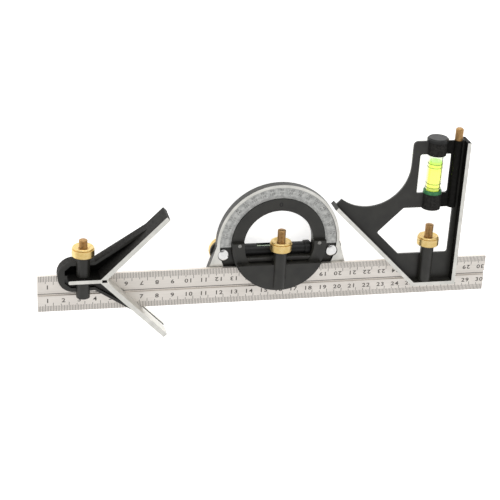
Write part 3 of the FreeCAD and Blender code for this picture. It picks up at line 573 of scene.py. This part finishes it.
# %% Softening the four castings
# The last two finishes are darker copies of the enamel that paint shade onto recesses and walls.
CASTING = (enamel, ground_zinc, recess_shade_enamel, wall_shade_enamel)
soften("centre_frame", "centre_casting", "centre_head", 0.15, CASTING, centre_kinds)
soften("square_frame", "square_casting", "square_head", 0.25, CASTING, square_kinds)
soften("turret", "turret_casting", "turret_head", 0.25, (enamel,), turret_kinds)
soften("protractor_body", "protractor_casting", "protractor", 0.25, CASTING, protractor_kinds)

# %% [markdown]
# ## Knurled brass nuts
#
# A clamp nut is turned from bar: a finely knurled band to grip, a narrow groove, and a collar with
# a shallow dish round the stud. Diamond knurling is two families of grooves that wind opposite
# ways. On the unrolled band each is a saw wave of the angle plus or minus the height, and the deeper
# one wins. It is worn nearly smooth here, so the grooves are only 0.03 mm deep.

# %% Nuts
KNURL_DEPTH_MM = 0.03
CLAMP_BORE_MM, LOCK_BORE_MM = 2.85, 1.6


def saw(value):
    """A triangle wave from 0 to 1 with period 1."""
    return 2 * np.abs(value - np.floor(value + 0.5))


def knurled(node, name, foot_height, axis, body, band_mm, flutes):
    """Turn a nut of the CAD node's size and press diamonds into its band."""
    low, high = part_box(node)
    size = (high - low) / MM
    upward = 1 if axis == "Y" else 2
    across, tall = size[0] / 2, size[upward]
    bore = CLAMP_BORE_MM if axis == "Y" else LOCK_BORE_MM
    low_band, high_band = band_mm
    collar = across - 0.45
    # from the bore out over the chamfer, up the band, in and out of the groove, and down the dish
    corners = [(bore, 0), (across - 0.5, 0), (across, 0.5), (across, high_band + 0.02),
               (across - 0.15, high_band + 0.15), (collar - 0.35, high_band + 0.2),
               (collar - 0.35, high_band + 0.6), (collar, high_band + 0.7),
               (collar, tall - 0.4), (collar - 0.5, tall), (collar - 1.3, tall),
               (bore + 0.9, tall - 0.7), (bore, tall - 0.9)]
    path = rounded(corners, [0, 0.15, 0.1, 0.04, 0.03, 0.04, 0.04, 0.06, 0.15, 0.15, 0.3, 0.2, 0], 3)
    rows = np.linspace(low_band, high_band, 15)
    start = int(np.argmax(path[:, 1] >= high_band - 0.2))
    band = np.column_stack([np.full_like(rows, across), rows])
    path = np.concatenate([path[:start], band, path[start:]])
    pitch = 2 * np.pi * across / flutes

    def press(radius, turn, height):
        """Radius change of the band: the deeper of two grooves that wind opposite ways."""
        on_band = (radius > (across - 0.02) * MM) & (height > low_band * MM * 0.99)
        on_band = on_band & (height < high_band * MM * 1.01)
        wind = turn * flutes / (2 * np.pi)
        rise = height / MM / pitch
        groove = np.minimum(saw(wind + rise), saw(wind - rise))
        return np.where(on_band, -KNURL_DEPTH_MM * MM * (1 - groove) ** 2, 0)

    foot = middle_of(node)
    foot[upward] = foot_height
    points, faces = turned(path, foot, axis, columns=flutes * 5, swell=press)
    make_piece(name, points, faces, brass, body, [node])


for head in ("centre", "turret", "square"):
    nut = head + "_clamp_nut"
    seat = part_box(nut)[0][1]
    knurled(nut, head + "_brass_nut", seat, "Y", head + "_nut", (0.6, 4.9), 48)
for side in ("left", "right"):
    nut = "lock_nut_" + side
    knurled(nut, "lock_brass_nut_" + side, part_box(nut)[1][2], "-Z", nut, (0.6, 3.4), 54)

# %% [markdown]
# ## Threaded studs
#
# Each clamp bolt ends in a thread of 0.8 mm pitch. A thread is a profile that climbs as it turns:
# the radius is a saw wave of height over pitch minus the angle. It runs out smoothly at both ends.

# %% Threads
PITCH_MM = 0.8
THREAD_DEPTH_MM = 0.2
DOME_MM = 0.8
LUG_WIDTH_MM = 3.0
LUG_LOW_MM, LUG_HIGH_MM = 0.02, 1.68
BOX_FACES = ((0, 1, 3, 2), (4, 6, 7, 5), (0, 4, 5, 1), (2, 3, 7, 6), (0, 2, 6, 4), (1, 5, 7, 3))


def thread(length_mm, free_from_mm):
    """Radius change of a right-hand thread between a height and the stud's end."""
    def carve(radius, turn, height):
        """A saw wave of height over pitch minus the angle, faded out at both ends."""
        tall = height / MM
        wave = saw(tall / PITCH_MM - turn / (2 * np.pi))
        fade = np.clip((tall - free_from_mm) / 1.5, 0, 1)
        fade = fade * np.clip((length_mm - DOME_MM - tall) / 0.6, 0, 1)
        on_side = radius > 0.9 * radius.max()
        return np.where(on_side, -THREAD_DEPTH_MM * MM * (1 - wave) * fade, 0)
    return carve


def stud(node, name, body, seat):
    """A threaded rod of the CAD bolt's length, with the lug that hooks into the rule's groove."""
    low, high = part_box(node)
    low, high = low / MM, high / MM
    radius = (high[0] - low[0]) / 2
    length = high[1] - low[1]
    centre_z = high[2] - radius
    rows = np.arange(0, length - 0.85, PITCH_MM / 6)
    side = np.column_stack([np.full_like(rows, radius), rows])
    dome = np.linspace(0, np.pi / 2, 9)
    dome = np.column_stack([radius * np.cos(dome), length - DOME_MM + DOME_MM * np.sin(dome)])
    path = np.concatenate([[(0, 0)], side, dome])
    foot = np.array([(low[0] + high[0]) / 2, low[1], centre_z]) * MM
    free_from = seat - low[1] - 2.5
    points, faces = turned(path, foot, "Y", columns=40, swell=thread(length, free_from))
    make_piece(name, points, faces, bronze, body, [node])
    half = LUG_WIDTH_MM / 2
    corners = np.array([(x, y, z) for x in (-half, half) for y in (LUG_LOW_MM, LUG_HIGH_MM)
                        for z in (low[2] - centre_z, -radius * 0.75)])
    make_piece(name + "_hook", corners * MM + foot, BOX_FACES, bronze, body, [node])


for head in ("centre", "turret", "square"):
    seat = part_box(head + "_clamp_nut")[0][1] / MM
    stud(head + "_clamp_bolt", head + "_stud", head + "_bolt", seat)

# %% [markdown]
# ## Lines and digits of ink
#
# Lines are etched and filled with ink, which stands level with the steel. Every line is a thin flat
# bar, and all the bars of a scale are worked out at once. The digits are made once each from text
# and then copied to their places.

# %% Bars of ink
INK_HALF_MM = 0.012


def ink_bars(middles, along, half_length, half_width, sideways):
    """Corners and faces of many flat bars: middle plus or minus each half side."""
    middles, along, sideways = (np.asarray(a, float) for a in (middles, along, sideways))
    signs = np.array([(a, b, c) for a in (-1, 1) for b in (-1, 1) for c in (-1, 1)], float)
    normal = np.cross(along, sideways)
    half_length = np.broadcast_to(half_length, len(middles))[:, None]
    half_width = np.broadcast_to(half_width, len(middles))[:, None]
    sides = np.stack(np.broadcast_arrays(
        along * half_length, sideways * half_width, normal * INK_HALF_MM), 1)
    points = middles[:, None, :] + np.einsum("kc,ncx->nkx", signs, sides)
    faces = (np.arange(len(middles)) * 8)[:, None, None] + np.array(BOX_FACES)
    return points.reshape(-1, 3) * MM, faces.reshape(-1, 4)


# %% Digits
EXTRUDE = 0.01


def cut_digit(letter):
    """One digit as arrays: a thin solid, 1 high, with its middle at the origin."""
    curve = bpy.data.curves.new("digit", "FONT")
    curve.body = letter
    curve.extrude = EXTRUDE
    curve.resolution_u = 3
    curve.offset = 0.018
    holder = bpy.data.objects.new("digit", curve)
    bpy.context.scene.collection.objects.link(holder)
    bpy.context.view_layer.update()
    mesh = bpy.data.meshes.new_from_object(holder)
    points = np.zeros(len(mesh.vertices) * 3)
    mesh.vertices.foreach_get("co", points)
    points = points.reshape(-1, 3)
    faces = [tuple(face.vertices) for face in mesh.polygons]
    bpy.data.objects.remove(holder)
    bpy.data.curves.remove(curve)
    bpy.data.meshes.remove(mesh)
    low, high = points.min(0), points.max(0)
    points[:, :2] = (points[:, :2] - (low[:2] + high[:2]) / 2) / (high[1] - low[1])
    points[:, 2] *= INK_HALF_MM / EXTRUDE
    return points, faces


DIGITS = {letter: cut_digit(letter) for letter in "0123456789"}


def write_numbers(numbers, places, turns, height_mm, spacing=1.02, widen=1.28):
    """Set each number at its place, turned about Z, as one set of points and faces."""
    points, faces, count = [], [], 0
    for number, place, turn in zip(numbers, places, turns):
        text = str(number)
        spin = np.array([[math.cos(turn), math.sin(turn)], [-math.sin(turn), math.cos(turn)]])
        for index, letter in enumerate(text):
            shape, sides = DIGITS[letter]
            flat = shape[:, :2] * height_mm * (widen, 1)
            flat = flat + ((index - (len(text) - 1) / 2) * spacing * height_mm, 0)
            solid = np.column_stack([flat @ spin, shape[:, 2]]) + place
            points.append(solid)
            faces.extend(tuple(np.array(side) + count) for side in sides)
            count += len(solid)
    return np.concatenate(points) * MM, faces


# %% [markdown]
# ## The rule's scales
#
# The rule is divided in millimetres along both edges, with longer lines at 5 and 10 mm. The lower
# row of numbers reads upright and the upper row reads from the other side. Each number stands just
# before its centimetre line. A dark line of ink along the floor of the clamp groove is painted
# shadow of the groove's wall.

# %% The rule's scales
RULE_END_MM, RULE_TOP_MM, RULE_FACE_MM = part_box("rule")[1] / MM
LINE_HALF_MM = 0.15
lines = np.arange(1, int(round(RULE_END_MM)))
reach = np.where(lines % 10 == 0, 6.2, np.where(lines % 5 == 0, 5.2, 4.0))
bar_sets = []
for edge in (-1, 1):
    middles = np.column_stack([lines, edge * (RULE_TOP_MM - reach / 2),
                               np.full(len(lines), RULE_FACE_MM)])
    bar_sets.append(ink_bars(middles, (0, 1, 0), reach / 2, LINE_HALF_MM, (1, 0, 0)))
points = np.concatenate([part[0] for part in bar_sets])
faces = np.concatenate([part[1] + index * len(lines) * 8 for index, part in enumerate(bar_sets)])
make_piece("rule_graduations", points, faces, ink_and_shadow, "rule")

# A thin bar of dark ink on the groove's floor: painted shadow of the groove's wall.
GROOVE_FLOOR_MM = 0.1
points, faces = ink_bars([(RULE_END_MM / 2, -0.45, GROOVE_FLOOR_MM)], (1, 0, 0),
                         RULE_END_MM / 2 - 0.1, 0.22, (0, 1, 0))
make_piece("groove_painted_shadow", points, faces, ink_and_shadow, "rule")

DIGIT_HEIGHT_MM = 2.85
LOWER_ROW_MM, UPPER_ROW_MM = -4.9, 4.7
labels = list(range(1, 31))
lower = [(10 * n - (3.6 if n < 10 else 3.0), LOWER_ROW_MM, RULE_FACE_MM) for n in labels]
upper = [(10 * n - (3.7 if n < 10 else 3.2), UPPER_ROW_MM, RULE_FACE_MM) for n in labels]
turns = [0] * len(labels) + [math.pi] * len(labels)
points, faces = write_numbers(labels * 2, lower + upper, turns, DIGIT_HEIGHT_MM)
make_piece("rule_numbers", points, faces, ink_and_shadow, "rule")

# %% [markdown]
# ## The degree scale
#
# The half ring is divided in degrees, with longer lines at 5 and 10 degrees next to the turret. Two
# rows of numbers count from 10 to 170 in opposite directions, so that an angle can be read from
# either side. They stand upright along the ring.

# %% The degree scale
PIVOT_MM = np.array([middle_of("turret")[0] / MM, 27.0])
LINE_FOOT_MM = 31.8
OUTER_ROW_MM, INNER_ROW_MM = 37.3, 35.2
PLATE_FACE_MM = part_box("degree_scale")[1][2] / MM
degrees = np.arange(0, 181)
angles = np.radians(degrees)
outward = np.column_stack([np.cos(angles), np.sin(angles), np.zeros(len(angles))])
around = np.column_stack([-np.sin(angles), np.cos(angles), np.zeros(len(angles))])
reach = np.where(degrees % 10 == 0, 2.6, np.where(degrees % 5 == 0, 2.1, 1.4))
middles = np.array([*PIVOT_MM, PLATE_FACE_MM]) + outward * (LINE_FOOT_MM + reach / 2)[:, None]
points, faces = ink_bars(middles, outward, reach / 2, 0.07, around)
make_piece("degree_graduations", points, faces, faded_ink, "protractor")

tens = np.arange(10, 180, 10)
angles = np.radians(tens)
places, turns, numbers = [], [], []
for radius, values in ((OUTER_ROW_MM, 180 - tens), (INNER_ROW_MM, tens)):
    for angle, value in zip(angles, values):
        places.append((PIVOT_MM[0] + radius * math.cos(angle),
                       PIVOT_MM[1] + radius * math.sin(angle), PLATE_FACE_MM))
        turns.append(angle - math.pi / 2)
        numbers.append(int(value))
points, faces = write_numbers(numbers, places, turns, 1.5, spacing=0.9, widen=1.0)
make_piece("degree_numbers", points, faces, faded_ink, "protractor")

# %% [markdown]
# ## The index mark
#
# The turret carries one faint mark on the middle of its ring, against which the degrees are read.

# %% Index mark
RING_FACE_MM = -1.5
RING_MIDDLE_MM = 27.4
mark_place = (PIVOT_MM[0], PIVOT_MM[1] + RING_MIDDLE_MM, RING_FACE_MM)
points, faces = write_numbers([0], [mark_place], [0], 3.0)
make_piece("index_mark", points, faces, plastic, "turret_head")

# %% [markdown]
# ## The ledge under the cross level
#
# A straight bar runs along the front of the turret's block, just under the level's tube. Its upper
# front edge is well rounded and catches a long line of light.

# %% The ledge
def bar_along_x(profile_mm, start_mm, end_mm):
    """A straight bar: a closed profile of (height, forward) at both ends, joined by flat sides."""
    profile = np.asarray(profile_mm, float)
    rows = [np.column_stack([np.full(len(profile), x), profile]) for x in (start_mm, end_mm)]
    count = len(profile)
    faces = grid_faces(2, count, wrap_rows=False).tolist()
    faces += [list(range(count)), list(range(count, 2 * count))]
    return np.concatenate(rows) * MM, faces


LEDGE_LOW_MM, LEDGE_HIGH_MM = 15.6, 18.3
LEDGE_BACK_MM, LEDGE_FRONT_MM = -3.9, 0.9
LEDGE_HALF_MM = 21.5
ledge = rounded([(LEDGE_LOW_MM, LEDGE_BACK_MM), (LEDGE_LOW_MM, LEDGE_FRONT_MM),
                 (LEDGE_HIGH_MM, LEDGE_FRONT_MM), (LEDGE_HIGH_MM, LEDGE_BACK_MM)],
                [0, 0.4, 0.9, 0.2], 5)
points, faces = bar_along_x(ledge, PIVOT_MM[0] - LEDGE_HALF_MM, PIVOT_MM[0] + LEDGE_HALF_MM)
make_piece("level_ledge", points, faces, enamel, "turret_head")

# %% [markdown]
# ## Pips on the turret's ears
#
# Each ear carries a small cast pip, shaped as a low paraboloid: its height falls with the square of
# the radius. It is painted light grey, a painted highlight where the ear's corner catches the
# light.

# %% Cast pips on the ears
EAR_FACE_MM = 1.5
PIP_ACROSS_MM, PIP_RISE_MM = 26.5, 0.6
PIP_HEIGHT_MM, PIP_FOOT_MM = 0.3, 0.1
PIP_RADIUS_MM = 1.2
out = np.linspace(1, 0, 8)
pip = np.column_stack([PIP_RADIUS_MM * out, PIP_HEIGHT_MM * (1 - out ** 2)])
pip = np.concatenate([[(0, -PIP_FOOT_MM), (PIP_RADIUS_MM, -PIP_FOOT_MM)], pip])
for side, across in (("left", -PIP_ACROSS_MM), ("right", PIP_ACROSS_MM)):
    foot = np.array([PIVOT_MM[0] + across, PIVOT_MM[1] + PIP_RISE_MM, EAR_FACE_MM]) * MM
    points, faces = turned(pip, foot, "Z", columns=32)
    # The pips' light grey finish is a painted highlight.
    make_piece("ear_pip_" + side, points, faces, painted_highlight_enamel, "turret_head")

# %% [markdown]
# ## Lock bolts
#
# The two bolts that lock the arch have low domed heads of polished chrome. They mirror the room, so
# they need a true dome and not a few flats: its height falls with the square of the radius. The
# shank ends in a small chamfer behind the nut.

# %% Domed lock bolts
SHANK_RADIUS_MM, HEAD_SEAT_MM = 1.5, 1.7
HEAD_DOME_MM, HEAD_RIM_MM = 0.65, 0.75
for side in ("left", "right"):
    low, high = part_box("lock_bolt_" + side)
    radius, tall = (high[0] - low[0]) / 2 / MM, (high[2] - low[2]) / MM
    out = np.linspace(0, 1, 10)
    dome = np.column_stack([(radius - 0.1) * out, HEAD_DOME_MM * out ** 2])
    path = np.concatenate([dome, [
        (radius, HEAD_RIM_MM), (radius, HEAD_SEAT_MM), (SHANK_RADIUS_MM, HEAD_SEAT_MM),
        (SHANK_RADIUS_MM, tall - 0.4), (SHANK_RADIUS_MM - 0.4, tall), (0, tall)]])
    foot = middle_of("lock_bolt_" + side)
    foot[2] = high[2]
    points, faces = turned(path, foot, "-Z", columns=64)
    make_piece("chrome_lock_bolt_" + side, points, faces, chrome, "protractor",
               ["lock_bolt_" + side])

# %% [markdown]
# ## The scriber's head
#
# The scriber is pulled out by a small turned head with fine flutes along its length, so that it
# doesn't slip in the fingers. The flutes are a saw wave of the angle.

# %% Scriber head
FLUTES = 24
FLUTE_DEPTH_MM = 0.1
NEEDLE_RADIUS_MM, NEEDLE_REACH_MM = 1.3, 5.0


def flute(radius, turn, height):
    """Radius change of the head's side: a saw wave of the angle."""
    on_side = radius > 0.97 * radius.max()
    return np.where(on_side, -FLUTE_DEPTH_MM * MM * saw(turn * FLUTES / (2 * np.pi)), 0)


low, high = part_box("scriber_head")
radius, tall = (high[0] - low[0]) / 2 / MM, (high[1] - low[1]) / MM
path = rounded([(NEEDLE_RADIUS_MM, 0), (radius - 0.2, 0), (radius, 0.3), (radius, tall - 1.0),
                (radius - 0.9, tall), (0, tall), (0, NEEDLE_REACH_MM),
                (NEEDLE_RADIUS_MM, NEEDLE_REACH_MM)],
               [0, 0.1, 0.1, 0.4, 0.4, 0, 0, 0], 3)
foot = middle_of("scriber_head")
foot[1] = low[1]
points, faces = turned(path, foot, "Y", columns=120, swell=flute)
make_piece("scriber_brass_head", points, faces, bronze, "scriber", ["scriber_head"])

# %% [markdown]
# ## The vial of the square head
#
# The block vial is a clear tube with liquid below and air above. Two pairs of dark rings mark
# level. The liquid's column is a hair thinner than the bore, so the two surfaces never coincide,
# and its lower end is darkened in the socket as painted shade.

# %% Liquid and rings
def shrink(node, name, finish, body, gap_mm):
    """A column along Y that stays a gap inside the CAD node."""
    low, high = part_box(node)
    radius = (high[0] - low[0]) / 2 / MM - gap_mm
    tall = (high[1] - low[1]) / MM - gap_mm
    path = rounded([(0, 0), (radius, 0), (radius, tall), (0, tall)], [0, 0.4, 0.6, 0], 5)
    foot = middle_of(node)
    foot[1] = low[1]
    points, faces = turned(path, foot, "Y", columns=64)
    make_piece(name, points, faces, finish, body, [node])


shrink("square_fluid", "square_liquid", liquid, "square_head", 0.06)
nodes["square_vial"].data.materials.clear()
nodes["square_vial"].data.materials.append(tinted_acrylic)

vial_low, vial_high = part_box("square_vial")
vial_radius = (vial_high[0] - vial_low[0]) / 2 / MM
vial_axis = middle_of("square_vial") * (1, 0, 1)
RING_HALF_MM, RING_PROUD_MM, RING_DEPTH_MM = 0.14, 0.03, 0.3
for index, height_mm in enumerate((65.0, 67.7, 78.9, 81.4)):
    low_ring, high_ring = height_mm - RING_HALF_MM, height_mm + RING_HALF_MM
    path = [(vial_radius - RING_DEPTH_MM, low_ring), (vial_radius + RING_PROUD_MM, low_ring),
            (vial_radius + RING_PROUD_MM, high_ring), (vial_radius - RING_DEPTH_MM, high_ring)]
    points, faces = turned(path, vial_axis, "Y", columns=64)
    make_piece("vial_ring_%d" % index, points, faces, ink_and_shadow, "square_head")

# %% [markdown]
# ## The seal at the foot of the vial
#
# A green rubber ring closes the gap between the vial and its socket. It is turned round the vial's
# axis, a hair outside the acrylic, and its upper outer edge is rounded.

# %% Seal
SEAL_LOW_MM, SEAL_HIGH_MM = 60.55, 63.0
seal_inner, seal_outer = vial_radius + 0.02, vial_radius + 0.98
path = rounded([(seal_inner, SEAL_LOW_MM), (seal_outer, SEAL_LOW_MM),
                (seal_outer, SEAL_HIGH_MM), (seal_inner, SEAL_HIGH_MM)], [0, 0.1, 0.5, 0], 4)
points, faces = turned(path, vial_axis, "Y", columns=64)
make_piece("vial_seal", points, faces, seal_rubber, "square_head")

# %% [markdown]
# ## Finishes for the pieces that keep their CAD shape
#
# These pieces are plain enough to stay as they are: the rule, the scale plate, tubes, caps, washers,
# the needle and the springs. They only get the finish of what they are made of.

# %% Assign the finishes
FINISHES = {
    "rule": satin_steel, "degree_scale": etched_plate, "level_tube": plastic,
    "level_cap": plastic, "square_vial_plug": plastic, "lock_washer_left": enamel,
    "lock_washer_right": enamel, "scriber_pin": spring_steel, "level_vial": acrylic,
    "level_fluid": pale_liquid, "centre_clamp_spring": spring_steel,
    "turret_clamp_spring": spring_steel, "square_clamp_spring": spring_steel,
}
for node, finish in FINISHES.items():
    nodes[node].data.materials.clear()
    nodes[node].data.materials.append(finish)

# %% [markdown]
# ## Studio
#
# The photograph is a cut-out on white. A pale floor that gives off a little light keeps the shadow
# under the tool faint. Light comes from everywhere, with one large soft panel above the far edge,
# which is why walls that face up the picture are lighter than the ones that face down. A dark patch
# of the surround on the camera's side gives polished metal and paint something dark to mirror.

# %% Floor, panel and surround
FLOOR_GAP_MM = 0.05
FLOOR_HALF = 2.0
RULE_MIDDLE = 0.15
floor_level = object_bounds()[0][2] - FLOOR_GAP_MM * MM
corners = np.array([(-1, -1, 0), (1, -1, 0), (1, 1, 0), (-1, 1, 0)], float) * FLOOR_HALF
corners += (RULE_MIDDLE, 0, floor_level)
floor_mesh = bpy.data.meshes.new("floor")
floor_mesh.from_pydata(corners.tolist(), [], [(0, 1, 2, 3)])
floor = bpy.data.objects.new("floor", floor_mesh)
bpy.context.scene.collection.objects.link(floor)
paper, shader = new_finish("white_paper_floor", Roughness=0.9)
shader.inputs["Base Color"].default_value = hex_colour("#f4f4f3")
shader.inputs["Emission Color"].default_value = (1, 1, 1, 1)
shader.inputs["Emission Strength"].default_value = 0.7
floor_mesh.materials.append(paper)

world = bpy.data.worlds.new("studio")
bpy.context.scene.world = world
world.use_nodes = True
background = world.node_tree.nodes["Background"]
background.inputs["Strength"].default_value = 1.0
CAMERA_SIDE = (-0.1, 0.45, 0.89)
PATCH_DARK, PATCH_EDGE, PATCH_CORE = 0.12, 0.86, 0.94
heading = add_node(world, "ShaderNodeTexCoord")
toward = add_node(world, "ShaderNodeVectorMath", {0: heading.outputs["Generated"], 1: CAMERA_SIDE},
                  operation="DOT_PRODUCT")
dark = spread(world, toward.outputs["Value"], 1.0, PATCH_DARK, PATCH_EDGE, PATCH_CORE)
world.node_tree.links.new(dark, background.inputs["Color"])

panel_data = bpy.data.lights.new("top_panel", "AREA")
panel_data.shape = "SQUARE"
panel_data.size = 0.9
panel_data.energy = 4.0
panel = bpy.data.objects.new("top_panel", panel_data)
panel.location = (0.05, 1.1, 0.7)
aim = Vector((RULE_MIDDLE, 0.0, 0.0)) - panel.location
panel.rotation_euler = aim.to_track_quat("-Z", "Y").to_euler()
bpy.context.scene.collection.objects.link(panel)
bpy.context.scene.view_settings.view_transform = "Standard"
